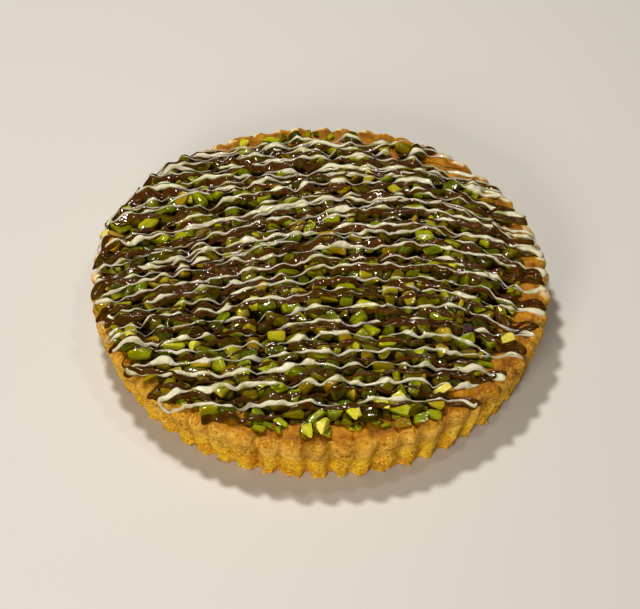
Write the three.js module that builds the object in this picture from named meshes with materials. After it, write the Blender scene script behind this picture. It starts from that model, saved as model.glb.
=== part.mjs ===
// Round pistachio tart: a thick fluted shortcrust shell with a heap of chopped pistachios on it.
// Millimetres, +Z up, origin at the middle of the underside. -Y is the front.
import * as THREE from "three";

// Driving dimensions
const RIM_RADIUS = 140; // to the flute crests at the rim
const BASE_RADIUS = 132; // to the flute crests at the foot
const RIM_HEIGHT = 34.5;
const FLUTES = 60;
const FRONT_CREST_ANGLE = THREE.MathUtils.degToRad(-91); // one crest stands here, the rest follow
const FLUTE_DEPTH = 4.6; // crest to crease
const RIM_ROUNDING = 5;
const RECESS_RADIUS = 119; // the dished middle that holds the topping
const RECESS_DEPTH = 3.5;
const HEAP_RADIUS = 126.5; // mean edge of the topping, which lies over the dish's lip
const TONGUE_ANGLE = THREE.MathUtils.degToRad(-63); // a narrow tongue of the topping, in front
const HEAP_CROWN = 43; // mean height of the heap's top above the table
const HEAP_EDGE_DROP = 2.4; // how much lower the heap is near its edge
const LUMP_PITCH = 15; // a lump is a few kernels that lie on each other
const LUMP_HEIGHT = 4.4;
const GAP = 0.3; // between the topping and the shell

// Fineness of the facets
const SHELL_STEPS = FLUTES * 6;
const HEAP_STEPS = 96;
const HEAP_RINGS = 17;

// Lathes a profile of rings about +Z, then lets `shape` move every point of each ring.
function lathe(profile, steps, shape) {
  const outline = profile.map((ring) => new THREE.Vector2(ring.radius, ring.height));
  const geometry = new THREE.LatheGeometry(outline, steps);
  geometry.rotateX(Math.PI / 2);
  const position = geometry.attributes.position;
  for (let index = 0; index < position.count; index += 1) {
    const ring = profile[index % profile.length];
    const angle = Math.atan2(position.getY(index), position.getX(index));
    const { radius, height } = shape(ring, angle);
    position.setXYZ(index, radius * Math.cos(angle), radius * Math.sin(angle), height);
  }
  return geometry;
}

// The baked outline is a little out of round, the same on opposite sides.
function outOfRound(angle) {
  return 0.5 * Math.cos(2 * angle + 0.9) + 0.25 * Math.cos(4 * angle + 2.2);
}

// How far the outline falls back from the crests: round lobes that meet in sharp creases.
function fluteSetback(angle) {
  const lobe = Math.abs(Math.cos(0.5 * FLUTES * (angle - FRONT_CREST_ANGLE)));
  return FLUTE_DEPTH * (1 - lobe ** 0.75);
}

// Rings of the shell from the middle of its underside, round the wall and the rim, to the dish.
// `fluting` is the share of the full flute depth that a ring takes.
function shellProfile() {
  const wallTop = RIM_HEIGHT - RIM_ROUNDING;
  const wall = (height, inset) =>
    BASE_RADIUS + (RIM_RADIUS - BASE_RADIUS) * (height / wallTop) - inset;
  const dishFloor = RIM_HEIGHT - RECESS_DEPTH - GAP;
  return [
    { radius: 0, height: 0, fluting: 0 },
    { radius: wall(0, 1.2), height: 0, fluting: 1 },
    { radius: wall(1.6, 0), height: 1.6, fluting: 1 },
    { radius: wall(wallTop, 0), height: wallTop, fluting: 0.85 },
    { radius: RIM_RADIUS - 0.9, height: RIM_HEIGHT - 0.4 * RIM_ROUNDING, fluting: 0.6 },
    { radius: RIM_RADIUS - 0.7 * RIM_ROUNDING, height: RIM_HEIGHT - 0.35, fluting: 0.25 },
    { radius: RIM_RADIUS - 1.7 * RIM_ROUNDING, height: RIM_HEIGHT, fluting: 0 },
    { radius: RECESS_RADIUS + 1, height: RIM_HEIGHT - GAP, fluting: 0 },
    { radius: RECESS_RADIUS, height: dishFloor, fluting: 0 },
    { radius: 0, height: dishFloor, fluting: 0 },
  ];
}

function shellShape(ring, angle) {
  const outer = ring.radius > RECESS_RADIUS + 1;
  const change = outer ? outOfRound(angle) - ring.fluting * fluteSetback(angle) : 0;
  return { radius: ring.radius + change, height: ring.height };
}

// The heap's edge wanders: nearly out to the rim's brink towards -X, shorter towards +X, and
// fuller again in front, where it ends in the tongue.
function heapEdge(angle) {
  const { smoothstep } = THREE.MathUtils;
  const left = -Math.cos(angle);
  const rear = Math.sin(angle);
  const drift = 4.2 * left + 0.8 * rear + 4.5 * smoothstep(left, 0.3, 0.9) + 2 * smoothstep(rear, 0.5, 1);
  const front = 4 * smoothstep(-rear, 0.6, 0.9) * smoothstep(left, -0.56, -0.46);
  const tongue = 5 * Math.exp(-(((angle - TONGUE_ANGLE) / 0.105) ** 2));
  const broad = 1.1 * Math.sin(5 * angle + 0.6) + 0.9 * Math.sin(11 * angle + 2);
  const fine = 0.6 * Math.sin(23 * angle);
  return HEAP_RADIUS + drift + front + tongue + broad + fine;
}

// Repeatable number from 0 to 1 for a cell of the lump grid.
function cellNumber(column, row, seed) {
  const wave = Math.sin(column * 127.1 + row * 311.7 + seed * 74.7) * 43758.5453;
  return wave - Math.floor(wave);
}

// Height of the nearest lump, each one a small paraboloid about a jittered grid point.
function lump(x, y) {
  let highest = 0;
  const homeColumn = Math.round(x / LUMP_PITCH);
  const homeRow = Math.round(y / LUMP_PITCH);
  for (let column = homeColumn - 1; column <= homeColumn + 1; column += 1) {
    for (let row = homeRow - 1; row <= homeRow + 1; row += 1) {
      const centreX = (column + 0.7 * (cellNumber(column, row, 1) - 0.5)) * LUMP_PITCH;
      const centreY = (row + 0.7 * (cellNumber(column, row, 2) - 0.5)) * LUMP_PITCH;
      const reach = Math.hypot(x - centreX, y - centreY) / (0.8 * LUMP_PITCH);
      const size = LUMP_HEIGHT * (0.6 + 0.4 * cellNumber(column, row, 3));
      highest = Math.max(highest, size * (1 - reach * reach));
    }
  }
  return highest;
}

// Rings of the heap from the middle of its underside, over the dish's lip, up its edge and in
// over the top. A ring with `reach` lies at that share of the wandering edge.
function heapProfile() {
  const underside = RIM_HEIGHT - RECESS_DEPTH;
  const onRim = RIM_HEIGHT + GAP;
  const profile = [
    { radius: 0, height: underside },
    { radius: RECESS_RADIUS - GAP - 0.1, height: underside },
    { radius: RECESS_RADIUS + 0.7, height: onRim },
    { reach: 0.99, height: onRim },
    { reach: 1, height: RIM_HEIGHT + 1.8 },
    { reach: 0.985, height: RIM_HEIGHT + 4 },
  ];
  for (let count = 1; count < HEAP_RINGS; count += 1) {
    profile.push({ reach: 0.97 * (1 - count / HEAP_RINGS), lumpy: true });
  }
  profile.push({ reach: 0, lumpy: true });
  return profile.map((ring) => ({ radius: (ring.reach ?? 0) * HEAP_RADIUS, height: RIM_HEIGHT, ...ring }));
}

function heapShape(ring, angle) {
  if (ring.reach === undefined) {
    return { radius: ring.radius, height: ring.height };
  }
  const radius = ring.reach * heapEdge(angle);
  if (!ring.lumpy) {
    return { radius, height: ring.height };
  }
  const bumps = lump(radius * Math.cos(angle), radius * Math.sin(angle));
  const drop = HEAP_EDGE_DROP * ring.reach ** 4;
  return { radius, height: HEAP_CROWN - LUMP_HEIGHT / 2 - drop + bumps };
}

function pastryShell() {
  const crust = new THREE.MeshStandardMaterial({ color: 0xc8904a, roughness: 0.8, metalness: 0 });
  const mesh = new THREE.Mesh(lathe(shellProfile(), SHELL_STEPS, shellShape), crust);
  mesh.name = "pastry_shell";
  return mesh;
}

function pistachioTopping() {
  const nuts = new THREE.MeshStandardMaterial({ color: 0x6f7a2a, roughness: 0.45, metalness: 0 });
  const mesh = new THREE.Mesh(lathe(heapProfile(), HEAP_STEPS, heapShape), nuts);
  mesh.name = "pistachio_topping";
  return mesh;
}

const tart = new THREE.Group();
tart.add(pastryShell(), pistachioTopping());

export default tart;
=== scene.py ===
import math

import bpy
import numpy as np
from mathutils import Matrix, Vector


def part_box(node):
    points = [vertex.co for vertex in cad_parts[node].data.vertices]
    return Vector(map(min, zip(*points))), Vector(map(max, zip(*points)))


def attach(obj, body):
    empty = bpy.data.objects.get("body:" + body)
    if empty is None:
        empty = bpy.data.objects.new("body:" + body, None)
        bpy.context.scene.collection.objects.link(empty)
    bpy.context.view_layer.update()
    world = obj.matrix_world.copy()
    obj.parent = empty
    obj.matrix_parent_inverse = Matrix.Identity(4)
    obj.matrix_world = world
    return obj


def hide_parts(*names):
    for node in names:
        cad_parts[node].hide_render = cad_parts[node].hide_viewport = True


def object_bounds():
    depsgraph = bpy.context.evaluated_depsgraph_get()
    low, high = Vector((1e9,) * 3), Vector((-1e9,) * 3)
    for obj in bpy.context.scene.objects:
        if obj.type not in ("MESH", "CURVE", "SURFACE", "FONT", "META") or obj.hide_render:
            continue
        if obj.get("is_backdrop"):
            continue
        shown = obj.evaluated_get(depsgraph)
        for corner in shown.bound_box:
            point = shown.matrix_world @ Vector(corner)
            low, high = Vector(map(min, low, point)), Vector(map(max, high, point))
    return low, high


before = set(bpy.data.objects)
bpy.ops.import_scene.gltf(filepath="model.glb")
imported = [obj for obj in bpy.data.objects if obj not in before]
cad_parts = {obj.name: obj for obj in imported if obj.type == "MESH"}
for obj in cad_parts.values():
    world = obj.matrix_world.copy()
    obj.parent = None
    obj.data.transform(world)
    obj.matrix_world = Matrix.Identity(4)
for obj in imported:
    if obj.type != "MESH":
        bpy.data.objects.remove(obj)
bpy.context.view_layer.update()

# ------------------------------------------------------------------ camera, floor and light
# The tart stands on a pale table, seen from the front and from above, with a long lens. A soft
# lamp behind it to the left lights the nuts, a broad one in front fills the wall, and a small
# one behind to the right adds glints.
MM = 0.001
CAMERA_PLACE = (0.0, -0.864, 0.9085)
CAMERA_DOWN = 46.2  # degrees below level
LENS = 113.3
SENSOR_WIDTH = 36


def in_scene(name, data):
    """A new object with this data, linked into the scene."""
    made = bpy.data.objects.new(name, data)
    bpy.context.scene.collection.objects.link(made)
    return made


camera_data = bpy.data.cameras.new("camera")
camera_data.lens = LENS
camera_data.sensor_width = SENSOR_WIDTH
camera = in_scene("camera", camera_data)
camera.location = CAMERA_PLACE
camera.rotation_euler = (math.radians(90 - CAMERA_DOWN), 0, 0)
bpy.context.scene.camera = camera
bpy.context.scene.view_settings.view_transform = "Standard"


def new_material(name):
    """A fresh node material, with its node tree and its Principled shader."""
    material = bpy.data.materials.new(name)
    material.use_nodes = True
    tree = material.node_tree
    return material, tree, tree.nodes["Principled BSDF"]


def srgb(red, green, blue):
    """The linear colour, with alpha 1, of a colour given as 0 to 255 on screen."""
    parts = np.array([red, green, blue]) / 255
    linear = np.where(parts <= 0.04045, parts / 12.92, ((parts + 0.055) / 1.055) ** 2.4)
    return (*linear.tolist(), 1.0)


def soft_lamp(name, place, aim, size, power, tint, shines=True):
    """A square soft box at `place` facing the point `aim`; wet things mirror it if it shines."""
    data = bpy.data.lights.new(name, "AREA")
    data.size = size
    data.energy = power
    data.color = tint
    lamp = in_scene(name, data)
    lamp.location = place
    away = np.array(place) - np.array(aim)
    flat = math.hypot(away[0], away[1])
    lamp.rotation_euler = (math.atan2(flat, away[2]), 0, math.atan2(away[1], away[0]) + math.pi / 2)
    lamp.visible_glossy = shines


soft_lamp("lamp_above", (-0.3, 0.4, 1.3), (0, 0, 0.03), 0.16, 14.5, (1, 0.97, 0.92))
soft_lamp("lamp_front", (-0.5, -1.35, 0.7), (0, 0, 0.02), 0.5, 14.6, (1, 0.96, 0.9), shines=False)
soft_lamp("lamp_glint", (0.45, 0.1, 1.3), (0, 0, 0.03), 0.12, 2, (1, 0.97, 0.92))

world = bpy.data.worlds.new("studio")
world.use_nodes = True
world.node_tree.nodes["Background"].inputs["Color"].default_value = (1, 0.96, 0.88, 1)
world.node_tree.nodes["Background"].inputs["Strength"].default_value = 0.14
world.cycles_visibility.glossy = False
bpy.context.scene.world = world

floor_mesh = bpy.data.meshes.new("floor")
floor_mesh.from_pydata([(-3, -3, 0), (3, -3, 0), (3, 3, 0), (-3, 3, 0)], [], [(0, 1, 2, 3)])
floor = in_scene("floor", floor_mesh)
floor_material, floor_tree, floor_shader = new_material("pale_table")
floor_shader.inputs["Base Color"].default_value = srgb(205, 201, 193)
floor_shader.inputs["Roughness"].default_value = 0.6
floor_mesh.materials.append(floor_material)
floor.visible_glossy = False
floor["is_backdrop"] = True

# ------------------------------------------------------------------ pastry shell
# One thick case of rich shortcrust, pressed into a fluted tin and baked until golden. The wall
# keeps the tin's flutes, wrinkled and crazed all over, the rim has rounded over more smoothly,
# and the foot has crumbled to small teeth under each flute.
shell_low, shell_high = (np.array(corner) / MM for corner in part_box("pastry_shell"))
RIM_HEIGHT = shell_high[2]
RIM_RADIUS = (shell_high[0] - shell_low[0]) / 2 - 0.2  # to the flute crests
BASE_RADIUS = RIM_RADIUS - 8
RIM_DROP = 5  # height of the rim's rounding
RIM_TURN = 8  # width of the rim's rounding
FLUTES = 60
FLUTE_DEPTH = 4.6
FRONT_CREST = math.radians(-91)
DISH_RADIUS, DISH_DEPTH = 119, 3.5  # the dish pressed into the top for the nuts
SCORCH_RADIUS, SCORCH_WIDTH = 131.5, 1.5  # a thin brown ring where the rim's top begins
CRUST_COLUMNS = FLUTES * 21
WALL_RINGS, TURN_RINGS, TOP_RINGS = 46, 16, 12  # up the wall, round the rim, in to the dish


def lattice_noise(points, seed):
    """Smooth noise from -1 to 1 at points (..., xyz): every corner of the unit cube round a point
    has a repeatable number, and the eight are blended with the ease 6t^5 - 15t^4 + 10t^3 along
    each axis."""
    cell = np.floor(points).astype(np.int64)
    part = points - cell
    ease = part**3 * (part * (part * 6 - 15) + 10)
    total = np.zeros(points.shape[:-1])
    for corner in np.ndindex(2, 2, 2):
        total += cell_number(cell + corner, seed) * np.prod(np.where(corner, ease, 1 - ease), axis=-1)
    return total


def cell_number(cell, seed):
    """A repeatable number from -1 to 1 for each whole-number cell."""
    x, y, z = np.moveaxis(cell, -1, 0)
    key = x * 73856093 ^ y * 19349663 ^ z * 83492791 ^ seed * 2654435761
    key = (key ^ key >> 13) * 1274126177
    return ((key ^ key >> 16) & 0xFFFFFF) / 0x7FFFFF - 1


def layered_noise(points, size, layers, seed):
    """Sum of noise layers, each half as coarse and half as strong as the one before."""
    parts = (lattice_noise(points * 2**layer / size, seed + layer) / 2**layer for layer in range(layers))
    return sum(parts)


def nearest_seed(points, size, seed):
    """Distance, in cells, from each point to the nearest of one jittered point per cell."""
    scaled = points / size
    home = np.floor(scaled).astype(np.int64)
    nearest = np.full(points.shape[:-1], 9.0)
    for step in np.ndindex(3, 3, 3):
        cell = home + np.array(step) - 1
        place = cell + 0.5 + 0.45 * np.stack([cell_number(cell, seed + axis) for axis in range(3)], -1)
        nearest = np.minimum(nearest, np.linalg.norm(scaled - place, axis=-1))
    return nearest


def smoothstep(low, high, value):
    """0 at `low` and before it, 1 at `high` and past it, and an even S-curve between them."""
    part = np.clip((value - low) / (high - low), 0, 1)
    return part * part * (3 - 2 * part)


def add_piece(name, mesh, material, smooth_angle=None):
    """Puts a finished mesh on the tart: smooth shading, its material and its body."""
    mesh.polygons.foreach_set("use_smooth", np.ones(len(mesh.polygons), bool))
    if smooth_angle:
        mesh.set_sharp_from_angle(angle=math.radians(smooth_angle))
    mesh.materials.append(material)
    piece = in_scene(name, mesh)
    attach(piece, "root")
    return piece


def mesh_from_arrays(name, points, corners, starts):
    """A mesh from points in millimetres, the faces' corners in one row, and each face's start."""
    mesh = bpy.data.meshes.new(name)
    mesh.vertices.add(len(points))
    mesh.vertices.foreach_set("co", (points * MM).astype(np.float32).ravel())
    mesh.loops.add(len(corners))
    mesh.loops.foreach_set("vertex_index", corners.astype(np.int32))
    mesh.polygons.add(len(starts))
    mesh.polygons.foreach_set("loop_start", starts.astype(np.int32))
    mesh.update(calc_edges=True)
    mesh.validate()
    return mesh


def store(mesh, key, values, domain="POINT", kind="FLOAT"):
    """Stores a number, or a vector, for each point or face, for the materials to read."""
    field = "value" if kind == "FLOAT" else "vector"
    data = mesh.attributes.new(key, kind, domain).data
    data.foreach_set(field, values.astype(np.float32).ravel())


def ring_mesh(name, rings, first_pole, last_pole, values=None):
    """A closed skin: rings of points (ring, column, xyz) joined by quads, each end by a fan to
    its pole. It stores the values of the rings' points; the poles, which come last, take 0."""
    count, columns = rings.shape[:2]
    points = np.concatenate([rings.reshape(-1, 3), [first_pole, last_pole]])
    column = np.arange(columns)
    after = (column + 1) % columns
    row = np.arange(count - 1)[:, None] * columns
    quads = np.stack([row + column, row + after, row + columns + after, row + columns + column], -1)
    first = np.stack([np.full(columns, len(points) - 2), after, column], -1)
    top = (count - 1) * columns
    last = np.stack([np.full(columns, len(points) - 1), top + column, top + after], -1)
    corners = np.concatenate([quads.ravel(), first.ravel(), last.ravel()])
    sides = np.concatenate([np.full(quads.size // 4, 4), np.full(2 * columns, 3)])
    mesh = mesh_from_arrays(name, points, corners, np.cumsum(sides) - sides)
    for key, value in (values or {}).items():
        store(mesh, key, np.append(value, [0, 0]))
    return mesh


def out_of_round(angle):
    """The crust's outline swells and shrinks twice and four times round the tart."""
    return 0.5 * np.cos(2 * angle + 0.9) + 0.25 * np.cos(4 * angle + 2.2)


def rings_of(radius, angle, height):
    """Points (ring, column, xyz) from the radius, angle and height of each."""
    return np.stack([radius * np.cos(angle), radius * np.sin(angle), height + 0 * angle], -1)


def crust_rings():
    """Radius, height, flute share and outward direction of the smooth profile: from the flat
    underside, up the leaning wall, over the rim's quarter ellipse and in across the dish. The
    flutes are deepest low on the wall, and fade out over the rim."""
    wall_top = RIM_HEIGHT - RIM_DROP
    top_radius = RIM_RADIUS - RIM_TURN
    lean = math.atan2(RIM_RADIUS - BASE_RADIUS, wall_top)
    rise = np.linspace(0, 1, WALL_RINGS) ** 1.1
    turn = np.radians(np.linspace(6, 90, TURN_RINGS))
    across = np.linspace(0, 1, TOP_RINGS + 1)[1:] ** 1.2
    radius = np.concatenate([
        [BASE_RADIUS - 9, BASE_RADIUS - 1.5],
        BASE_RADIUS + (RIM_RADIUS - BASE_RADIUS) * rise,
        RIM_RADIUS - RIM_TURN * (1 - np.cos(turn)),
        top_radius - (top_radius - DISH_RADIUS) * across,
        [DISH_RADIUS - 1],
    ])
    height = np.concatenate([
        [0, 0],
        wall_top * rise,
        wall_top + RIM_DROP * np.sin(turn),
        RIM_HEIGHT - 0.3 * across**2,
        [RIM_HEIGHT - DISH_DEPTH],
    ])
    outward = np.concatenate([
        [-1.57, -0.8], np.full(WALL_RINGS, -lean), turn, np.full(TOP_RINGS + 1, math.pi / 2),
    ])
    share = 0.74 + 0.18 * smoothstep(0, 8, height) - 0.2 * smoothstep(12, wall_top, height)
    above_wall = np.arange(len(radius)) >= 2 + WALL_RINGS
    share = np.where(above_wall, 0.85 * (1 - smoothstep(0.9, 1.57, outward)), share)
    return radius, height, share, outward


def flute_phase(radius, height, angle):
    """How far a point lies through its flute: half a turn for each flute, with 0 on the crest.
    The flutes sway, more so near the rim, and waver a little from place to place."""
    round_trip = rings_of(1, angle, 0)
    sway = 0.8 * lattice_noise(round_trip * 9, 3) * (height / RIM_HEIGHT)
    sway = sway + 0.45 * lattice_noise(round_trip * 22, 8)
    waver = 0.35 * lattice_noise(rings_of(radius, angle, height) / 8, 12)
    return 0.5 * FLUTES * (angle - FRONT_CREST) + sway + waver


def crust_texture(points):
    """How far the baked dough stands out at each point: up over lumps, and down in wrinkles,
    cracks and pits, which are strongest halfway up the wall. Also gives how near each point is
    to the sharp crest of a wrinkle, and how deep it lies in a crack or pit, from 0 to 1."""
    level = points[..., 2]
    bend = np.stack([lattice_noise(points / 4.5, 51 + axis) for axis in range(3)], -1)
    bent = points + 1.6 * bend
    lumps = layered_noise(points, 8, 2, 11)
    wrinkles = np.abs(layered_noise(bent * (1, 1, 1.5), 3.2, 2, 21))
    crack = 1 - smoothstep(0, 0.11, np.abs(lattice_noise(bent * (1, 1, 1.4) / 3.4, 24)))
    crack = crack * smoothstep(-0.2, 0.5, lattice_noise(points / 9, 27))
    pit = 1 - smoothstep(0.1, 0.36, nearest_seed(points, 3.1, 31))
    rough = 0.3 + 0.7 * smoothstep(-0.3, 0.4, lattice_noise(points / 13, 29))
    flaky = rough * (0.5 + 0.85 * smoothstep(5, 11, level) * smoothstep(29, 20, level))
    move = 0.6 * lumps + flaky * (0.35 - 0.95 * wrinkles - 0.6 * crack - 0.85 * pit)
    return move, 1 - smoothstep(0, 0.25, wrinkles), np.maximum(crack, pit)


def fluted_crust():
    """The crust's rings, and the numbers from 0 to 1 that its material reads at each point. A
    point of the smooth profile falls back by depth x share x (1 - |cos phase|^1.15), or at the
    foot by an arch, which leaves narrow notches. It then moves along the outward direction by
    the texture. Crumbs stand out at the foot, and the creases run on over the rim's edge."""
    radius, height, share, outward = (part[:, None] for part in crust_rings())
    angle = np.linspace(0, 2 * math.pi, CRUST_COLUMNS, endpoint=False)[None, :]
    phase = flute_phase(radius, height, angle)
    pillow = 1 - np.abs(np.cos(phase)) ** 1.15
    arch = smoothstep(0.58, 1.0, np.abs(np.sin(phase)))
    at_foot = 1 - smoothstep(0, 9, height)
    vigour = 0.92 + 0.4 * lattice_noise(rings_of(1, angle, 0) * 16, 5)
    setback = FLUTE_DEPTH * vigour * (pillow + (arch - pillow) * at_foot) * share
    reach = radius + out_of_round(angle) * (radius > DISH_RADIUS) - setback
    points = rings_of(reach, angle, height)
    move, crested, sunk = crust_texture(points)
    calm = 1 - 0.8 * smoothstep(1.0, 1.5, outward)
    move = move * smoothstep(0.2, 3, height) * (radius > DISH_RADIUS + 1) * calm
    teeth = layered_noise(points * (1, 1, 0.6), 1.2, 2, 41)
    foot = (1 - smoothstep(0, 3.5, height)) * (1 - 0.6 * arch)
    out = reach + move * np.cos(outward) + 1.6 * teeth * foot * (height < 7)
    out = np.minimum(out, RIM_RADIUS + out_of_round(angle))
    over_edge = smoothstep(0.7, 1.5, outward) * smoothstep(RIM_RADIUS - 15, RIM_RADIUS - 9, radius)
    lift = move * np.sin(outward) - 2.1 * pillow**2 * over_edge
    rings = rings_of(out, angle, np.clip(height + lift, 0, RIM_HEIGHT))

    spots, syrupy, burnt = (
        lattice_noise(points / size, seed) for size, seed in (((9, 9, 5), 71), (6, 73), (4, 75))
    )
    # Painted highlight: pale cream patches on one flank of each flute, where the rim rounds over at the
    # rear, stand in for light catching the rim's outer edge.
    rounding = smoothstep(0.3, 0.75, outward) * (1 - smoothstep(1.15, 1.5, outward))
    lit_flank = smoothstep(-0.25, 0.35, np.sin(2 * phase + 0.6)) * smoothstep(-0.45, 0.1, np.sin(angle))
    # Painted shade in the flute valleys; in cracks and pits the darkening is partly the dough's own darker
    # colour and partly painted shade.
    shade_and_dark_cracks = np.maximum(sunk, 0.5 * smoothstep(0.6, 1.0, pillow))
    # Painted highlight: the sharp crests of wrinkles and the crumbs at the foot are made paler, as if
    # catching the light.
    light = np.maximum(crested, smoothstep(0.1, 0.6, teeth) * foot)
    scorch = np.exp(-(((radius - SCORCH_RADIUS) / SCORCH_WIDTH) ** 2)) * (outward > 1.3)
    low_wall = 0.45 + 0.55 * smoothstep(3, 10, height)
    return rings, {
        "shade_and_dark_cracks": shade_and_dark_cracks * calm,
        "light": light * calm,
        "rear_rim_highlight": smoothstep(-0.42, -0.12, spots) * rounding * lit_flank,
        "glaze": smoothstep(0.0, 0.35, syrupy) * smoothstep(136, 129, radius),
        "scorch": scorch * smoothstep(-0.5, 0.3, burnt),
        "rim": smoothstep(0.2, 1.2, outward) + 0 * angle,
        "plain": low_wall * (1 - 0.7 * smoothstep(25, 32, height)) + 0 * angle,
    }


crust_points, crust_values = fluted_crust()
crust_mesh = ring_mesh(
    "pastry_crust", crust_points, (0, 0, 0), (0, 0, RIM_HEIGHT - DISH_DEPTH), crust_values
)


def node(tree, kind, inputs=None, **settings):
    """Adds a shader node; inputs are numbers, colours or sockets to join to it."""
    made = tree.nodes.new(kind)
    for key, value in settings.items():
        setattr(made, key, value)
    for key, value in (inputs or {}).items():
        if isinstance(value, bpy.types.NodeSocket):
            tree.links.new(value, made.inputs[key])
        else:
            made.inputs[key].default_value = value
    return made


def coloured_ramp(tree, factor, stops):
    """A colour ramp through (position, (red, green, blue)) stops, driven by a socket."""
    ramp = node(tree, "ShaderNodeValToRGB", {"Fac": factor})
    elements = ramp.color_ramp.elements
    elements[0].position, elements[0].color = stops[0][0], srgb(*stops[0][1])
    elements[1].position, elements[1].color = stops[-1][0], srgb(*stops[-1][1])
    for position, colour in stops[1:-1]:
        elements.new(position).color = srgb(*colour)
    return ramp.outputs["Color"]


def noise(tree, place, scale, detail, roughness=0.5, distortion=0.0):
    """The socket of a cloudy noise, about 0.5, with `scale` lumps to the metre."""
    return node(tree, "ShaderNodeTexNoise", {
        "Vector": place, "Scale": scale, "Detail": detail, "Roughness": roughness, "Distortion": distortion,
    }).outputs["Fac"]


def maths(tree, operation, *numbers):
    """The socket of one step of arithmetic on numbers or sockets."""
    return node(tree, "ShaderNodeMath", dict(enumerate(numbers)), operation=operation).outputs[0]


def mapped(tree, value, low, high, least=0.0, most=1.0):
    """The socket of a value stretched from the span low to high onto the span least to most."""
    inputs = {"Value": value, "From Min": low, "From Max": high, "To Min": least, "To Max": most}
    return node(tree, "ShaderNodeMapRange", inputs).outputs["Result"]


def named_value(tree, name, share=None):
    """The socket of a number stored on the mesh, or of a share of it."""
    value = node(tree, "ShaderNodeAttribute", attribute_name=name).outputs["Fac"]
    return maths(tree, "MULTIPLY", value, share) if share else value


def blend(tree, factor, first, second, **settings):
    """Mixes two colours by a factor; each is a socket or a colour."""
    inputs = {"Factor": factor, "A": first, "B": second}
    return node(tree, "ShaderNodeMix", inputs, data_type="RGBA", **settings).outputs["Result"]


def bumped(tree, height, strength, distance, **settings):
    """The socket of a normal that leans with the slope of a height, `distance` metres tall."""
    inputs = {"Height": height, "Strength": strength, "Distance": distance}
    return node(tree, "ShaderNodeBump", inputs, **settings).outputs["Normal"]


def dress(tree, shader, colour, roughness, specular, normal):
    """Joins a colour and a normal to the shader, and sets how rough and how mirror-like it is."""
    tree.links.new(colour, shader.inputs["Base Color"])
    shader.inputs["Roughness"].default_value = roughness
    shader.inputs["Specular IOR Level"].default_value = specular
    tree.links.new(normal, shader.inputs["Normal"])


crust, tree, shader = new_material("baked_shortcrust")
place = node(tree, "ShaderNodeTexCoord").outputs["Object"]
patches = noise(tree, place, 60, 5, roughness=0.65)
# The lower wall is lighter and more golden than the upper wall: partly the crust's own colour, partly
# painted light bounced up onto the foot from below.
low_wall = coloured_ramp(tree, patches, [
    (0.3, (238, 157, 8)), (0.5, (255, 195, 24)), (0.72, (255, 220, 60)),
])
high_wall = coloured_ramp(tree, patches, [
    (0.3, (180, 118, 22)), (0.5, (208, 152, 42)), (0.72, (226, 178, 72)),
])
rim_colour = coloured_ramp(tree, patches, [
    (0.3, (136, 79, 0)), (0.5, (170, 108, 3)), (0.72, (198, 136, 10)),
])
level = node(tree, "ShaderNodeSeparateXYZ", {"Vector": place}).outputs["Z"]
colour = blend(tree, mapped(tree, level, 0.012, 0.029), low_wall, high_wall)
colour = blend(tree, named_value(tree, "rim"), colour, rim_colour)
# Glaze and scorch are the crust's own browning; the pale patches on the rear rim and the pale crests and
# crumbs are painted highlight.
for name, share, shade in (
    ("glaze", 0.7, (122, 68, 8)), ("scorch", 0.7, (108, 52, 6)),
    ("rear_rim_highlight", None, (238, 222, 176)), ("light", 0.45, (250, 210, 104)),
):
    colour = blend(tree, named_value(tree, name, share), colour, srgb(*shade))
freckled = mapped(tree, noise(tree, place, 420, 4, roughness=0.7), 0.56, 0.7, 0.0, 0.7)
colour = blend(tree, freckled, colour, srgb(126, 70, 12))
plain = named_value(tree, "plain")
flatter = node(tree, "ShaderNodeVectorMath", {0: place, 1: (1, 1, 1.5)}, operation="MULTIPLY").outputs[0]
scribble = noise(tree, flatter, 160, 2, distortion=2.6)
whorls = maths(tree, "ABSOLUTE", maths(tree, "SUBTRACT", scribble, 0.5))
patchy = mapped(tree, patches, 0.6, 0.45, 0.12, 0.9)
furrow = maths(tree, "MULTIPLY", mapped(tree, whorls, 0.035, 0.0, 0.0, 0.75), patchy)
furrow = maths(tree, "MULTIPLY", furrow, plain)
colour = blend(tree, furrow, colour, srgb(130, 74, 10))
crest = maths(tree, "MULTIPLY", mapped(tree, whorls, 0.06, 0.16, 0.0, 0.2), plain)
colour = blend(tree, crest, colour, srgb(252, 212, 112))
# painted shade in the flute valleys, and darker cracks and pits, partly painted shade as well
colour = blend(tree, named_value(tree, "shade_and_dark_cracks", 0.72), colour, srgb(118, 62, 10))
swirls = noise(tree, place, 260, 4, distortion=1.6)
bump = node(tree, "ShaderNodeBump", {
    "Height": swirls, "Strength": maths(tree, "MULTIPLY", plain, 0.8), "Distance": 0.001,
    "Normal": bumped(tree, furrow, 0.8, 0.001, invert=True),
})
dress(tree, shader, colour, 0.6, 0.12, bump.outputs["Normal"])
crust_piece = add_piece("pastry_crust", crust_mesh, crust)
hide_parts("pastry_shell")

# ------------------------------------------------------------------ chopped pistachios
# Blanched green kernels, some whole or split lengthwise, most chopped across or into blocks,
# tipped on the crust in a rough heap two deep and held by syrup.
heap_low, heap_high = (np.array(corner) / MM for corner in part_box("pistachio_topping"))
HEAP_TOP = heap_high[2] - 1.3  # the tallest nuts stop here, and chocolate lies on them
NUT_REACH = 138.5  # no nut hangs out past this radius
SNUG = 0.93  # nuts touch at this share of their half sizes
SPOTS_TRIED, TURNS_TRIED = 6, 4
CELL = 0.6  # grid of the height maps
HALF_GRID = 240
chance = np.random.default_rng(20)


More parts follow.
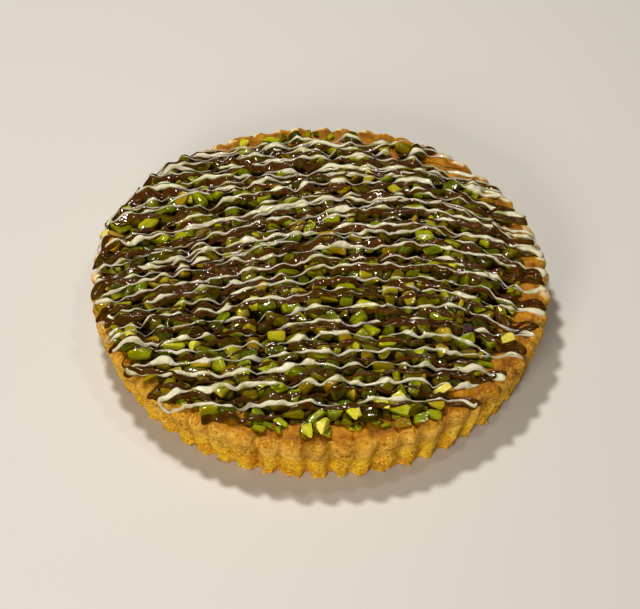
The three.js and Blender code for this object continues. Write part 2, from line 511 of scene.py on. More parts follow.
def heap_edge(angle):
    """The heap's wandering edge: nearly out to the rim's brink on the left, shorter on the
    right, and fuller again in front, where it ends in a narrow tongue."""
    left, rear = -np.cos(angle), np.sin(angle)
    drift = 4.2 * left + 0.8 * rear + 4.5 * smoothstep(0.3, 0.9, left)
    drift = drift + 3 * smoothstep(0.6, 0.9, -rear) * smoothstep(-0.56, -0.46, left)
    drift = drift + 5 * np.exp(-(((angle + 1.1) / 0.105) ** 2))
    wander = 1.1 * np.sin(5 * angle + 0.6) + 0.9 * np.sin(11 * angle + 2) + 0.6 * np.sin(23 * angle)
    return 128.5 + drift + wander


def block_skin(lines):
    """Points and outward quads of a cube's skin, each side divided by the same lines, and the
    number of the side each quad is on: -x, +x, -y, +y, -z, +z."""
    count = len(lines)
    number = np.arange(count**3).reshape(count, count, count)
    quads = []
    for axis in range(3):
        for end in (0, -1):
            side = np.moveaxis(number, axis, 0)[end]
            quad = np.stack([side[:-1, :-1], side[1:, :-1], side[1:, 1:], side[:-1, 1:]], -1)
            faces_out = (end == -1) == (axis != 1)
            quads.append((quad if faces_out else quad[..., ::-1]).reshape(-1, 4))
    quads = np.concatenate(quads)
    used = np.unique(quads)
    points = np.array(lines)[np.stack(np.unravel_index(used, (count,) * 3), -1)]
    return points, np.searchsorted(used, quads), np.repeat(np.arange(6), (count - 1) ** 2)


BLOCK_POINTS, BLOCK_QUADS, BLOCK_SIDES = block_skin((-1, -0.58, 0.58, 1))


def nut_bodies(count, length, width, thick, end_power, side_power, flat, skew):
    """Nuts about their own middle, (nut, point, xyz). A cube's skin is divided by its distance
    in a mixed power norm, low powers giving round nuts and high ones blocks; the low side is cut
    flat, one end narrows, and the whole is pulled askew by small products of x, y and z."""

    def draw(span):
        """A number within the span for each nut."""
        return chance.uniform(*span, (count, 1))

    x, y, z = BLOCK_POINTS.T[:, None, :]
    ends, sides = draw(end_power), draw(side_power)
    around = (np.abs(y) ** sides + np.abs(z) ** sides) ** (1 / sides)
    reach = (np.abs(x) ** ends + around**ends) ** (1 / ends)
    x, y, z = x / reach, y / reach, z / reach
    z = np.maximum(z, -draw(flat))
    narrowing = 1 - draw((0, 0.3)) * (x + 1) / 2
    y, z = y * narrowing, z * narrowing
    powers = np.stack([x, y, z, x * y, y * z, z * x, x * y * z, x * x], 1)
    pull = skew * chance.normal(size=(count, 3, 8)) * (0.5, 0.5, 0.5, 1, 1, 1, 0.8, 0.5)
    body = np.stack([x, y, z], -1) + (pull @ powers).transpose(0, 2, 1)
    half = 0.5 * np.stack([draw(length), draw(width), draw(thick)], -1)
    body = body * half * (1 + 0.02 * chance.normal(size=body.shape))
    return body - 0.5 * (body.max(1, keepdims=True) + body.min(1, keepdims=True))


def turns(yaw, pitch, roll):
    """Rotation matrices: first a roll about x, then a pitch about y, then a yaw about z."""
    matrices = []
    for angle, (first, second) in ((yaw, (0, 1)), (pitch, (2, 0)), (roll, (1, 2))):
        matrix = np.tile(np.eye(3), (len(angle), 1, 1))
        matrix[:, first, first] = matrix[:, second, second] = np.cos(angle)
        matrix[:, second, first] = np.sin(angle)
        matrix[:, first, second] = -np.sin(angle)
        matrices.append(matrix)
    return matrices[0] @ matrices[1] @ matrices[2]


# the nuts fall on a bed, the dish with its mounds and the rim, and stay under a ceiling that comes
# down near the heap's edge; the relief is the height of all that has fallen so far
grid_lines = (np.arange(2 * HALF_GRID + 1) - HALF_GRID) * CELL
grid_x, grid_y = np.meshgrid(grid_lines, grid_lines, indexing="ij")
grid_r = np.hypot(grid_x, grid_y)
grid_angle = np.arctan2(grid_y, grid_x)
inside = grid_r / heap_edge(grid_angle)
edge_drop = 4.5 + 2.2 * smoothstep(0.3, 0.8, np.sin(grid_angle))
ceiling = HEAP_TOP - edge_drop * smoothstep(0.78, 0.95, inside)
flat_points = np.stack([grid_x, grid_y, 0 * grid_x], -1)
mound = 0.5 + 0.9 * (lattice_noise(flat_points / 11, 61) + 0.35 * lattice_noise(flat_points / 5, 62))
mound = 4.2 * np.clip(mound, 0, 1)
bed = np.where(grid_r < DISH_RADIUS - 1, RIM_HEIGHT - DISH_DEPTH + mound, RIM_HEIGHT - 0.3)
relief = bed.copy()


def random_spots(count, places, spread, lowest):
    """For each nut, some places spread evenly over the heap, outside the share `lowest` of it."""
    angle = chance.uniform(0, 2 * math.pi, (count, places))
    radius = (heap_edge(angle) - 4) * np.sqrt(chance.uniform(lowest, 1, (count, places))) * spread
    return np.stack([radius * np.cos(angle), radius * np.sin(angle)], -1)


def grid_line(place):
    """Number of the grid line nearest to each place along x or y."""
    return np.clip(np.round(place / CELL).astype(int) + HALF_GRID, 0, 2 * HALF_GRID)


def settle(bodies, spots, tilt):
    """Drops the nuts one by one. Each is tried at the deepest of its own spots, in a few turns,
    lowered until its ellipsoid touches what lies below, and stays where it comes lowest. A nut
    that would stand above the ceiling counts as much higher."""
    count = len(bodies)
    half = np.abs(bodies).max(1) * SNUG
    placed = np.empty_like(bodies)
    for index in range(count):
        yaw = chance.uniform(0, 2 * math.pi, TURNS_TRIED)
        pitch = chance.normal(0, tilt, TURNS_TRIED)
        roll = chance.choice([0, math.pi, 0.5 * math.pi], TURNS_TRIED, p=[0.4, 0.3, 0.3])
        turned = turns(yaw, pitch, roll + chance.normal(0, 0.35, TURNS_TRIED))
        column, row = grid_line(spots[index].T)
        deepest = np.argsort((relief - bed)[column, row])[:SPOTS_TRIED]
        best = None
        for turn in turned:
            shape = turn @ np.diag(1 / half[index] ** 2) @ turn.T
            wide = int(half[index].max() / CELL) + 1
            near = np.arange(-wide, wide + 1) * CELL
            dx, dy = near[:, None], near[None, :]
            slant = shape[0, 2] * dx + shape[1, 2] * dy
            flat = shape[0, 0] * dx**2 + 2 * shape[0, 1] * dx * dy + shape[1, 1] * dy**2 - 1
            inner = slant * slant - shape[2, 2] * flat
            within = inner > 0
            root = np.sqrt(np.where(within, inner, 0)) / shape[2, 2]
            middle = -slant / shape[2, 2]
            under, over = middle - root, middle + root
            for pick in deepest:
                i, j = column[pick], row[pick]
                window = (slice(i - wide, i + wide + 1), slice(j - wide, j + wide + 1))
                rest = np.max(np.where(within, relief[window] - under, -99))
                above = max(rest + over.max() - ceiling[i, j], 0)
                score = rest - bed[i, j] + 0.6 * over.max() + 9 * above
                if best is None or score < best[0]:
                    best = (score, rest, turn, window, over, within, i, j)
        _, rest, turn, window, over, within, i, j = best
        relief[window] = np.where(within, np.maximum(relief[window], rest + over), relief[window])
        placed[index] = bodies[index] @ turn.T + (grid_lines[i], grid_lines[j], rest)
    placed[..., 2] -= np.clip(placed[..., 2].max(1) - HEAP_TOP, 0, None)[:, None]
    farthest = np.hypot(placed[..., 0], placed[..., 1]).max(1)
    placed[..., :2] *= np.minimum(1, NUT_REACH / farthest)[:, None, None]
    return placed


def height_map(quads, samples, start):
    """Highest point over each grid cell of quads, (quad, corner, xyz): each is filled with
    samples by samples points between its corners, and every cell keeps the highest."""
    part = (np.arange(samples) + 0.5) / samples
    a, b = (side.reshape(-1, 1) for side in np.meshgrid(part, part))
    a, b = a[None], b[None]
    first, second, third, fourth = (quads[:, None, corner] for corner in range(4))
    filled = (1 - a) * (1 - b) * first + a * (1 - b) * second + a * b * third + (1 - a) * b * fourth
    filled = filled.reshape(-1, 3)
    found = start.copy()
    np.maximum.at(found, (grid_line(filled[:, 0]), grid_line(filled[:, 1])), filled[:, 2])
    return found


def ring_quads(rings):
    """The quads between neighbouring rings, as (quad, corner, xyz)."""
    after = np.roll(rings, -1, axis=1)
    return np.stack([rings[:-1], after[:-1], after[1:], rings[1:]], 2).reshape(-1, 4, 3)


def highest_near(field, reach):
    """Each cell takes the highest value within `reach` millimetres."""
    cells = int(round(reach / CELL))
    result = field.copy()
    for i in range(-cells, cells + 1):
        for j in range(-cells, cells + 1):
            if i * i + j * j <= cells * cells + 1:
                result = np.maximum(result, np.roll(field, (i, j), (0, 1)))
    return result


def bell(sigma):
    """Reach and weights of a bell-shaped smoothing, e^(-step^2 / 2 sigma^2) over their sum."""
    reach = int(3 * sigma + 1)
    weights = np.exp(-0.5 * (np.arange(-reach, reach + 1) / sigma) ** 2)
    return reach, weights / weights.sum()


def blurred(field, sigma):
    """Bell-shaped smoothing of a height map; sigma is in cells."""
    reach, weights = bell(sigma)
    for line in (0, 1):
        field = sum(w * np.roll(field, k - reach, line) for k, w in enumerate(weights))
    return field


def lookup(field, x, y):
    """The field's value between grid points, by linear blending."""
    i = np.clip(x / CELL + HALF_GRID, 0, 2 * HALF_GRID - 1.001)
    j = np.clip(y / CELL + HALF_GRID, 0, 2 * HALF_GRID - 1.001)
    i0, j0 = i.astype(int), j.astype(int)
    a, b = i - i0, j - j0
    near = (1 - b) * field[i0, j0] + b * field[i0, j0 + 1]
    far = (1 - b) * field[i0 + 1, j0] + b * field[i0 + 1, j0 + 1]
    return (1 - a) * near + a * far


def bodies_mesh(name, placed):
    """One mesh of many bodies, (body, point, xyz), each closed by the cube's quads."""
    shift = np.arange(len(placed))[:, None, None] * len(BLOCK_POINTS)
    corners = (BLOCK_QUADS[None] + shift).ravel()
    return mesh_from_arrays(name, placed.reshape(-1, 3), corners, np.arange(0, corners.size, 4))


def nut_mesh(name, placed, own, tone, warm, cut_sides):
    """One mesh of many nuts. Every point knows its place in its own nut before it was turned, for
    the grain, and how deep it lies in the heap. Every face knows its nut's tone, how brown its
    glaze is, and whether it is cut: cut_sides says for each nut which of its six sides are."""
    mesh = bodies_mesh(name, placed)
    store(mesh, "cut", cut_sides[:, BLOCK_SIDES], "FACE")
    store(mesh, "tone", np.repeat(tone, len(BLOCK_QUADS)), "FACE")
    store(mesh, "warm", np.repeat(warm, len(BLOCK_QUADS)), "FACE")
    x, y, z = placed.transpose(2, 0, 1)
    # Painted shade: a point lying deeper below the heap's skin is darkened, less so at the heap's edge.
    sunk = np.clip((lookup(heap_skin, x, y) - z) / 5, 0, 1)
    out = np.hypot(x, y) / heap_edge(np.arctan2(y, x))
    store(mesh, "sunk", sunk * (1 - 0.8 * smoothstep(0.9, 0.97, out)))
    grain = (own * (0.3, 1, 1) + 37 * np.arange(len(own))[:, None, None] * (0, 1, 0)) * MM
    store(mesh, "grain", grain, kind="FLOAT_VECTOR")
    return mesh


def wet_coat(tree, shader, weight, beads):
    """A clear wet coat over a material; the normal `beads` breaks its gloss up into dots."""
    shader.inputs["Coat Weight"].default_value = weight
    shader.inputs["Coat Roughness"].default_value = 0.03
    tree.links.new(beads, shader.inputs["Coat Normal"])


kernel_green, tree, shader = new_material("pistachio_kernel")
place = node(tree, "ShaderNodeTexCoord").outputs["Object"]
grain = node(tree, "ShaderNodeAttribute", attribute_name="grain").outputs["Vector"]
mottle = maths(tree, "MULTIPLY_ADD", noise(tree, grain, 420, 5, roughness=0.65), 1.1, -0.55)
tone = maths(tree, "ADD", named_value(tree, "tone"), mottle)
skin_colour = coloured_ramp(tree, tone, [
    (0.0, (50, 34, 16)), (0.12, (52, 50, 0)), (0.35, (74, 84, 0)), (0.58, (110, 118, 0)),
    (0.84, (152, 154, 8)), (1.0, (180, 158, 30)),
])
flesh_colour = coloured_ramp(tree, tone, [
    (0.0, (84, 82, 0)), (0.3, (120, 126, 2)), (0.58, (166, 166, 14)),
    (0.84, (204, 198, 40)), (1.0, (232, 214, 100)),
])
colour = blend(tree, named_value(tree, "cut"), skin_colour, flesh_colour)
glaze = maths(tree, "ADD", noise(tree, place, 110, 3), named_value(tree, "warm"))
browned = blend(tree, 1.0, colour, srgb(205, 164, 110), blend_type="MULTIPLY")
colour = blend(tree, mapped(tree, glaze, 0.78, 1.18, 0.0, 0.92), colour, browned)
# painted shade between the nuts, darkest where a nut lies deep in the heap
colour = blend(tree, named_value(tree, "sunk"), colour, srgb(46, 32, 4))
dress(tree, shader, colour, 0.5, 0.02, bumped(tree, noise(tree, place, 700, 3), 0.5, 0.0006))
wet_coat(tree, shader, 0.75, bumped(tree, noise(tree, place, 380, 1), 0.8, 0.0007))

KINDS = {
    # name: (count, length, width, thickness, end power, side power, low cut, skew, cut sides)
    "crumb": (230, (3.5, 6.5), (3, 5), (2.5, 4.2), (2.5, 5), (2.5, 5), (0.5, 1), 0.2, (0, 1, 2, 3)),
    "sliver": (165, (8.5, 15), (3.8, 6), (3.2, 4.8), (2.4, 4), (2.3, 4), (0.4, 1), 0.2, (0, 2, 4)),
    "block": (175, (6.5, 12), (5.4, 8.6), (4.8, 7.4), (3.5, 6), (3, 6), (0.4, 1), 0.2, (0, 1, 2, 4)),
    "across": (215, (7, 12), (7, 9.8), (6.4, 8.6), (3, 6), (2.1, 2.8), (0.2, 1), 0.16, (0, 1)),
    "split": (180, (11, 16.5), (7.5, 10.3), (7, 9.4), (2.1, 2.8), (2.1, 2.8), (0, 0.3), 0.1, (4,)),
    "whole": (105, (12.5, 17), (8, 10.3), (7, 8.6), (2.1, 2.6), (2, 2.3), (1, 1), 0.08, ()),
}
# where the last fell: pale broken bits in front and astray on the rim, and the tongue's nuts
STRAYS = [
    (-34, -97), (-22, -99), (35, -110), (45, -107), (-6, -129), (1, -126), (20, -119), (-57, -100),
    (-133, 27), (-74, -66), (-50, 117), (109, -57), (-112, -58), (70, -98),
]
TONGUE = [(66, -108), (54, -114), (65, -114), (57, -119), (47, -120)]
bodies, kind_of, cut_of = [], [], []
for number, (count, *sizes, sides) in enumerate(KINDS.values()):
    bodies.append(nut_bodies(count, *sizes))
    kind_of.append(np.full(count, number))
    cut_sides = np.zeros((count, 6))
    cut_sides[:, list(sides)] = chance.uniform(size=(count, len(sides))) < 0.85  # a few keep skin
    cut_of.append(cut_sides)
bodies, kind_of, cut_of = (np.concatenate(part) for part in (bodies, kind_of, cut_of))
order = np.argsort(kind_of + chance.normal(0, 1.9, len(kind_of)))  # the small ones sink
bodies, kind_of, cut_of = bodies[order], kind_of[order], cut_of[order]
# sizes and shapes in the order of KINDS, from the length to the skew
stray_sizes = (5.5, 8.5), (4.5, 6.8), (3, 4.5), (3, 8), (3, 8), (0.2, 0.6), 0.3
stray_bodies = nut_bodies(len(STRAYS), *stray_sizes)
tongue_sizes = (9, 13), (6, 8), (4, 5.5), (2.2, 3), (2.2, 3), (0.2, 0.6), 0.15
tongue_bodies = nut_bodies(len(TONGUE), *tongue_sizes)
# first the heap's border, laid flat, then its lower nuts, then those on top
border, lower = int(0.19 * len(bodies)), int(0.62 * len(bodies))
placed = np.concatenate([
    settle(bodies[:border], random_spots(border, places=40, spread=1.01, lowest=0.82), tilt=0.12),
    settle(bodies[border:lower], random_spots(lower - border, 40, spread=0.985, lowest=0), tilt=0.3),
    settle(bodies[lower:], random_spots(len(bodies) - lower, 10, spread=0.985, lowest=0), tilt=0.33),
    settle(tongue_bodies, np.array(TONGUE)[:, None, :], tilt=0.1),
    settle(stray_bodies, np.array(STRAYS)[:, None, :], tilt=0.3),
])
bodies = np.concatenate([bodies, tongue_bodies, stray_bodies])
number_of = {kind: number for number, kind in enumerate(KINDS)}
kind_of = np.append(kind_of, np.full(len(TONGUE + STRAYS), number_of["block"]))
cut_of = np.concatenate([cut_of, np.zeros((len(TONGUE), 6)), np.ones((len(STRAYS), 6))])
crust_map = height_map(ring_quads(crust_points[2:]), 2, np.full_like(relief, RIM_HEIGHT - RIM_DROP))
nut_map = height_map(placed[:, BLOCK_QUADS].reshape(-1, 4, 3), 7, crust_map)
heap_skin = blurred(highest_near(nut_map, 3), 3)
nut_tone = np.clip(chance.normal(0.51, 0.235, len(placed)), 0.13, 0.98)
nut_tone[-len(STRAYS):] = chance.uniform(0.74, 1.02, len(STRAYS))
nut_warm = chance.uniform(0, 1, len(placed))
nut_warm[-len(STRAYS):] *= 0.3
PIECES = {
    "pistachio_bits": ("crumb", "sliver"),
    "pistachio_chopped": ("block", "across"),
    "pistachio_halves": ("split", "whole"),
}
for name, kinds in PIECES.items():
    chosen = np.isin(kind_of, [number_of[kind] for kind in kinds])
    own = (part[chosen] for part in (placed, bodies, nut_tone, nut_warm, cut_of))
    mesh = nut_mesh(name, *own)
    piece = add_piece(name, mesh, kernel_green, smooth_angle=42)
    if name == "pistachio_chopped":
        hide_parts("pistachio_topping")

# ------------------------------------------------------------------ syrup between the nuts
# A dark syrup holds the heap together. It was poured over the nuts, ran down between them, and
# shows only in the gaps, as a brown, lumpy floor.
SYRUP_DEPTH = 3.3  # below the mean height of the nuts
SYRUP_FOOT = RIM_HEIGHT - 1.5
CORE_RINGS, CORE_COLUMNS = 70, 320
syrup_map = blurred(nut_map, 5) - SYRUP_DEPTH + 0.3 * lattice_noise(flat_points / 2.4, 77)
core_angle = np.linspace(0, 2 * math.pi, CORE_COLUMNS, endpoint=False)[None, :]
core_share = np.linspace(1, 0.01, CORE_RINGS)[:, None]
core_radius = (heap_edge(core_angle) - 11) * core_share
core_rings = rings_of(core_radius, core_angle, 0 * core_radius)
syrup_level = lookup(syrup_map, core_rings[..., 0], core_rings[..., 1])
above_crust = np.where(core_radius < DISH_RADIUS - 3, RIM_HEIGHT - 2.5, RIM_HEIGHT - 0.1)
core_rings[..., 2] = np.maximum(syrup_level, above_crust)
core_rings[0, :, 2] = SYRUP_FOOT
core_top = core_rings[-1, :, 2].mean()
core_mesh = ring_mesh("syrup_core", core_rings, (0, 0, SYRUP_FOOT), (0, 0, core_top))
syrup, tree, shader = new_material("brown_syrup")
place = node(tree, "ShaderNodeTexCoord").outputs["Object"]
clots = noise(tree, place, 260, 4)
deep = coloured_ramp(tree, clots, [(0.35, (50, 31, 4)), (0.75, (84, 55, 10))])
dress(tree, shader, deep, 0.3, 0.15, bumped(tree, clots, 0.6, 0.001))
add_piece("syrup_core", core_mesh, syrup)

# ------------------------------------------------------------------ milk chocolate lines
# Melted milk chocolate, drizzled in one long zigzag from side to side. It lies over the nuts,
# sags between them, and turns back on the bare rim.
LINE_STEP = 0.62  # between the rings of a line
SLIMMEST = 0.34  # least half width
MIDDLE_LIMIT = 137.8  # no line's middle lies past this radius, or 1 mm past it on the left
SKIN_LIMIT = 139.8  # no skin of a line lies past this radius
MILK_LEVELS = (116, 105, 95, 85, 72, 58, 46, 34, 22, 8, -3, -14, -27, -39, -52, -64, -76, -89, -101, -113)
# from front to rear, at the levels in the first row: how steeply the lines fall away on the
# left, how far out they do so, and how steeply they fall away at the far right
LEFT_SLOPE = (-115, -90, -50, 0, 50, 75, 90, 115), (0.1, 0.16, 0.16, 0.27, 0.33, 0.26, 0.15, 0.12)
LEFT_REACH = (-100, -65, -20), (45, 80, 140)
RIGHT_SLOPE = (-110, -60, -20, 40, 110), (0.08, 0.22, 0.36, 0.4, 0.45)


def drizzle(levels, jitter, turn_radius, start_side, seed):
    """Points of one drizzled line. It crosses the tart at each level in turn, falling away to
    the left and at the far right, lifts a little on the right rim and at the front left, and
    closes up with the crossings before and after it as it nears each side."""
    draw = np.random.default_rng(seed)
    crossings = []
    for index, level in enumerate(levels):
        side = start_side if index % 2 == 0 else -start_side
        x = side * np.linspace(-1, 1, 500) * turn_radius
        y = level + draw.normal(0, jitter)
        y = y + np.interp(level, *LEFT_SLOPE) * np.clip(x, -np.interp(level, *LEFT_REACH), 0)
        y = y - np.interp(level, *RIGHT_SLOPE) * blend_in(x - 60, 25)
        half = math.sqrt(max(turn_radius**2 - level**2, 900))
        before = smoothstep(0.6, 1.0, -side * x / half) * (levels[max(index - 1, 0)] - level)
        after = smoothstep(0.6, 1.0, side * x / half) * (levels[min(index + 1, len(levels) - 1)] - level)
        y = y + np.where(x < 0, 0.25, 0.36) * (before + after)
        y = y + 0.5 * np.clip(np.hypot(x, y) - 122, 0, 12) * (x > 0)
        front_left = smoothstep(-20, -55, level) * smoothstep(-118, -80, level) * (x < 0)
        y = y + 0.25 * np.clip(np.hypot(x, y) - 112, 0, 24) * front_left
        kept = np.hypot(x, y) < turn_radius + draw.uniform(-0.8, 1.4)
        crossings.append(np.stack([x, y], -1)[kept])
    line = np.concatenate(crossings)
    gone = np.concatenate([[0], np.cumsum(np.linalg.norm(np.diff(line, axis=0), axis=1))])
    even = np.arange(0, gone[-1], LINE_STEP)
    return ease_along(np.stack([np.interp(even, gone, line[:, axis]) for axis in (0, 1)], -1), 4.5)


def blend_in(value, width):
    """0 below 0, and rising with slope 1 beyond `width`, with a smooth start between."""
    part = np.clip(value, 0, width)
    return part**2 / (2 * width) + np.clip(value - width, 0, None)


def ease_along(values, sigma):
    """Bell-shaped smoothing along the first axis, with the ends held."""
    reach, weights = bell(sigma)
    padded = np.concatenate([np.repeat(values[:1], reach, 0), values, np.repeat(values[-1:], reach, 0)])
    return sum(w * padded[k:k + len(values)] for k, w in enumerate(weights))


def sagging(heights):
    """A poured line hangs in even curves between the high points: at each point, the lowest of
    all the upright parabolas, 0.14 of the distance squared, that stay above the heights."""
    count, reach = len(heights), 13
    lift = 0.14 * (np.arange(-reach, reach + 1) * LINE_STEP) ** 2
    padded = np.pad(heights, ((reach, reach), (0, 0)), mode="edge")
    raised = np.max([padded[k:k + count] - rise for k, rise in enumerate(lift)], axis=0)
    padded = np.pad(raised, ((reach, reach), (0, 0)), mode="edge")
    return ease_along(np.min([padded[k:k + count] + rise for k, rise in enumerate(lift)], axis=0), 0.8)


def closed_over(field, reach, soft):
    """The surface a thick liquid rests on: gaps narrower than twice `reach` are bridged."""
    return blurred(-highest_near(-highest_near(field, reach), reach), soft)


def on_rim(line):
    """0 where a line lies on the nuts, and 1 where it lies on the bare rim."""
    return smoothstep(116, 128, np.hypot(*line.T))


def poured_middle(line, surface, along, seed):
    """Where the middle of a line comes to lie: it wobbles and wanders as it is poured, slides
    0.8 mm down a slope of 1, and is held in on the rim, a little further out on the left."""
    slopes = [np.gradient(blurred(surface, 2.2), CELL, axis=axis) for axis in (0, 1)]
    slide = np.stack([lookup(slope, *line.T) for slope in slopes], -1)
    wobble = np.stack([lattice_noise(along / 17, seed), lattice_noise(along / 11, seed + 5)], -1)
    wander = 1.6 * lattice_noise(along / 48, seed + 55) + 0.45 * lattice_noise(along / 4.5, seed + 57)
    middle = ease_along(line - 0.8 * slide + (1.3, 2.3) * wobble + wander[:, None] * (0, 1), 2)
    limit = MIDDLE_LIMIT + (middle[:, 0] < 0)
    return middle * np.minimum(1, limit / np.hypot(*middle.T))[:, None]


def poured_width(line, along, perched, half_width, unevenness, pools, perch, seed):
    """Half the width at each point: half_width x e^(unevenness x swell), or the slimmest. It is
    slimmer on the rim at the right and in front, broader by `perch` where the line sits high,
    broader by `pools` where it gathers and in fat turns on the rim, and tapers at both ends."""
    x, y = line.T
    swell = lattice_noise(along / 32, seed + 13) + lattice_noise(along / 9, seed + 9)
    swell = swell + 0.4 * lattice_noise(along / 3.2, seed + 21)
    wide = np.maximum(half_width * np.exp(unevenness * swell), SLIMMEST)
    wide = wide * (1 - 0.3 * on_rim(line) * np.maximum(x > 0, smoothstep(-60, -95, y)))
    wide = wide * (1 + perch * np.clip(perched, -1.4, 1.6))
    pooled = smoothstep(0.2, 0.7, lattice_noise(along / 10, seed + 31) + 0.5 * perch * perched)
    pooled = pooled * (0.85 + 0.15 * smoothstep(-60, 20, y))
    right = smoothstep(0, 30, x) * smoothstep(-30, 10, y) * smoothstep(90, 60, y)
    some = 0.1 + 0.7 * smoothstep(-0.1, 0.45, lattice_noise(along / 24, seed + 63))
    fat = on_rim(line) * np.maximum(right, some * smoothstep(-40, -60, y))
    wide = wide * (1 + pools * (pooled + 2 * fat))
    ends = np.minimum(np.arange(len(line)), np.arange(len(line))[::-1]) * LINE_STEP
    return wide * np.sqrt(np.clip(ends / 2, 0.03, 1))


# the points of a ring, in shares of the half width: over the top, and back underneath
SHARES = np.array([-1, -0.86, -0.5, 0, 0.5, 0.86, 1, 0.6, -0.6])
ON_TOP = np.arange(len(SHARES)) < 7


def poured_line(line, surface, half_width, thick, unevenness, pools, perch, sink, seed):
    """Rings of a line of chocolate lying on a height map. Over what lies below it stands 0.85 of
    its half width, from 0.35 to `thick`, times sqrt(1 - share^2.3). A side that hangs over a drop
    draws in, the line dips here and there by up to `sink`, and its underside is sunk 0.5. Also
    gives, from 0 to 1, how thin the chocolate is and how slender the line."""
    count = len(line)
    along = np.stack([np.arange(count) * LINE_STEP, np.full(count, seed * 3.1), np.zeros(count)], -1)
    middle = poured_middle(line, surface, along, seed)
    step = np.gradient(middle, axis=0)
    step /= np.linalg.norm(step, axis=1, keepdims=True) + 1e-9
    normal = np.stack([-step[:, 1], step[:, 0]], -1)
    here = lookup(surface, *middle.T)
    perched = ease_along(np.clip(here - lookup(blurred(surface, 12), *middle.T), -2, 2.5), 3)
    wide = poured_width(line, along, perched, half_width, unevenness, pools, perch, seed)
    dip = sink * smoothstep(0, 0.5, lattice_noise(along / 5, seed + 41)) * (1 - on_rim(line))

    def held(side):
        """Share of the half width that stays up on one side, where the surface falls away."""
        fallen = np.zeros(count)
        for part in (0.4, 0.7, 1.0):
            beside = middle + side * part * wide[:, None] * normal
            fallen += smoothstep(0.5, 1.7, here - lookup(surface, *beside.T)) / 3
        return ease_along(1 - 0.6 * fallen, 1.5)[:, None]

    shares = SHARES * np.where(SHARES < 0, held(-1), held(1))
    x = middle[:, :1] + normal[:, :1] * wide[:, None] * shares
    y = middle[:, 1:] + normal[:, 1:] * wide[:, None] * shares
    inward = np.minimum(1, SKIN_LIMIT / np.hypot(x, y))
    x, y = x * inward, y * inward
    z = np.maximum(lookup(surface, x, y), here[:, None] - 1.3 * np.abs(shares) * wide[:, None])
    z = sagging(np.maximum(ease_along(z, 1), z - 0.05)) - dip[:, None]
    cap = np.sqrt(np.clip(1 - np.abs(SHARES) ** 2.3, 0, 1)) * np.clip(0.85 * wide, 0.35, thick)[:, None]
    z = np.where(ON_TOP, np.minimum(z + cap - 0.05, heap_high[2] - 0.02), z - 0.5)
    rings = np.stack([x, y, z], -1)
    film = lattice_noise(rings / 4, seed + 17)
    thin = np.clip(0.9 * SHARES**2 + 1.2 * film - 0.45, 0, 1)
    slender = (1 - smoothstep(0.5, 1.3, wide))[:, None] + 0 * SHARES
    return rings, {"thin": thin, "slender": slender}


def lay_line(name, line, bed, half_width, chocolate, slot, **pouring):
    """Pours a line on its bed, closes it into one skin with a pole at each end, and adds it.
    Gives the height map of the bed with the line on it."""
    rings, values = poured_line(line, bed, half_width, **pouring)
    mesh = ring_mesh(name, rings, rings[0].mean(0), rings[-1].mean(0), values)
    add_piece(name, mesh, chocolate)
    return height_map(ring_quads(rings), 3, bed)


def chocolate_material(name, dark, light, slender, through, roughness, beaded):
    """Poured chocolate: nearly one colour, faintly streaked, another shade in slender lines and
    tinted by the nuts where it is thin, with small ripples and a wet coat."""
    material, tree, shader = new_material(name)
    place = node(tree, "ShaderNodeTexCoord").outputs["Object"]
    colour = coloured_ramp(tree, noise(tree, place, 120, 4), [(0.3, dark), (0.7, light)])
    colour = blend(tree, named_value(tree, "slender"), colour, srgb(*slender))
    colour = blend(tree, named_value(tree, "thin"), colour, srgb(*through))
    ripples = bumped(tree, noise(tree, place, 480, 3), 0.8, 0.0011)
    dress(tree, shader, colour, roughness, 0.03, ripples)
    wet_coat(tree, shader, 1.0, bumped(tree, noise(tree, place, 330, 1), beaded, 0.001))
    return material


def milk_half_width(x, y):
    """Broader from front to rear, most of all at the rear left, and slimmer in the middle of the
    rear and at the left side."""
    rear_left = smoothstep(-20, -60, x) * smoothstep(0, 60, y)
    rear_middle = smoothstep(-35, 5, x) * smoothstep(20, 80, y)
    left_side = smoothstep(-40, -80, x) * smoothstep(-75, -50, y) * smoothstep(60, 30, y)
    return 1.5 + 1.18 * smoothstep(-60, 20, y) + 0.6 * rear_left - 0.8 * rear_middle - 0.4 * left_side


milk = chocolate_material(
    "milk_chocolate", dark=(60, 31, 4), light=(80, 44, 8), slender=(70, 36, 4), through=(80, 62, 0),
    roughness=0.5, beaded=0.7,
)
milk_bed = closed_over(np.maximum(nut_map, np.where(inside < 0.92, syrup_map, 0)), 1.2, 0.6)
milk_path = drizzle(MILK_LEVELS, 1.0, 137.6, 1, 4)
milk_top = lay_line(
    "milk_chocolate_lines", milk_path, milk_bed, milk_half_width(*milk_path.T), milk, "milk_chocolate",
    thick=1.2, unevenness=0.5, pools=0.2, perch=0.1, sink=0.8, seed=4,
)

# ------------------------------------------------------------------ white chocolate lines
# White chocolate drizzled after the milk chocolate, in a closer zigzag of finer lines, which lie
# over the brown lines and on the tops of the nuts.
WHITE_LEVELS = (
    120, 115, 110, 104, 98, 91, 86, 80, 74, 65, 58, 50, 42, 33, 25, 17, 8, 0, -11, -22, -34, -46,
    -57, -68, -80, -93, -107,
)


def white_half_width(x, y):
    """Finer towards the left and right of the middle, and broader in front."""
    front = smoothstep(-10, -50, y) * smoothstep(100, 60, np.abs(x))
    right = smoothstep(20, 50, x) * smoothstep(118, 100, x)
    right = right * smoothstep(80, 50, y) * smoothstep(-60, -30, y)
    return 0.67 - 0.16 * smoothstep(-30, -90, x) + 0.2 * front - 0.16 * right


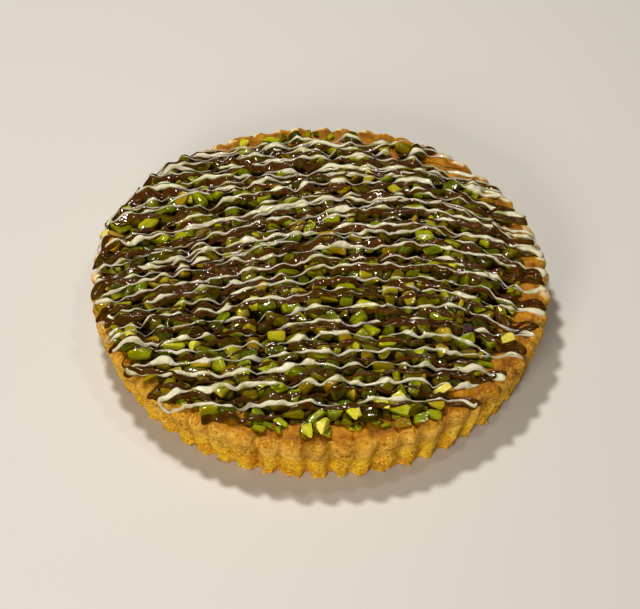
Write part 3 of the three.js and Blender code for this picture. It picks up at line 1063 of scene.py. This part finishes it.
white = chocolate_material(
    "white_chocolate", dark=(204, 194, 162), light=(230, 225, 191), slender=(196, 184, 164),
    through=(158, 158, 84), roughness=0.4, beaded=0.8,
)
white_path = drizzle(WHITE_LEVELS, 1.0, 138, 1, 9)
white_top = lay_line(
    "white_chocolate_lines", white_path, closed_over(milk_top, 1.0, 0.7),
    white_half_width(*white_path.T), white, "white_chocolate",
    thick=1.3, unevenness=0.35, pools=1.2, perch=0.32, sink=0.3, seed=9,
)

# ------------------------------------------------------------------ thin white strands
# A few finer strands of the same white chocolate, drizzled over the rear half of the tart. They
# cross the lines below them.
THIN_LEVELS = (112, 98, 80, 55, 28)
thin_top = lay_line(
    "white_chocolate_thin", drizzle(THIN_LEVELS, 2, 137, -1, 23), closed_over(white_top, 1.0, 0.7),
    0.42, white, "white_chocolate",
    thick=0.9, unevenness=0.4, pools=0.9, perch=0.2, sink=0.3, seed=23,
)

# ------------------------------------------------------------------ last thin milk chocolate
# A few thin milk chocolate lines, drizzled after the white ones. They cross over them, and turn
# back before they reach the rim's edge.
LAST_LEVELS = (100, 82, 66, 52, 38, 20, 4, -20, -46, -82)
chocolate_top = lay_line(
    "milk_chocolate_last", drizzle(LAST_LEVELS, 1.5, 134, -1, 14), closed_over(thin_top, 1.2, 0.8),
    0.72, milk, "milk_chocolate",
    thick=0.9, unevenness=0.5, pools=0.8, perch=0.1, sink=0.3, seed=14,
)

# ------------------------------------------------------------------ two odd bits on top
# A dark purple flake of pistachio skin, and a chip of toasted almond. They fell last, each into
# the lowest place near by, and lie on the chocolate.
ODD_BITS = {
    # name: (place, length, width and thickness, yaw and pitch, colour)
    "pistachio_skin_flake": ((88, -50), (7.2, 6.2, 2.8), (0.4, 0.5), (92, 60, 57)),
    "toasted_almond_chip": ((44, 98), (5, 9.2, 3.6), (0.12, 0.2), (188, 114, 24)),
}
for name, (spot, size, (yaw, pitch), shade) in ODD_BITS.items():
    spans = [(0.9 * span, 1.1 * span) for span in size]
    body = nut_bodies(1, *spans, (3, 6), (2.5, 5), (0.6, 1), 0.25)
    turn = turns(*(np.array([angle]) for angle in (yaw, pitch, 0.2)))[0]
    near = np.array(spot)[:, None, None] + np.stack(np.meshgrid(*[np.linspace(-4, 4, 9)] * 2))
    lowest = np.unravel_index(np.argmin(lookup(blurred(chocolate_top, 3), *near)), (9, 9))
    spot = near[:, *lowest]
    bit = body @ turn.T + (*spot, lookup(highest_near(chocolate_top, 1.8), *spot) + 0.3 * size[2])
    bit[..., 2] -= max(bit[..., 2].max() - heap_high[2] + 0.02, 0)
    mesh = bodies_mesh(name, bit)
    material, tree, shader = new_material(name)
    fibres = noise(tree, node(tree, "ShaderNodeTexCoord").outputs["Object"], 700, 3)
    darker = tuple(0.6 * part for part in shade)
    colour = coloured_ramp(tree, fibres, [(0.35, darker), (0.65, shade)])
    dress(tree, shader, colour, 0.45, 0.15, bumped(tree, fibres, 0.8, 0.001))
    add_piece(name, mesh, material)

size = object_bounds()
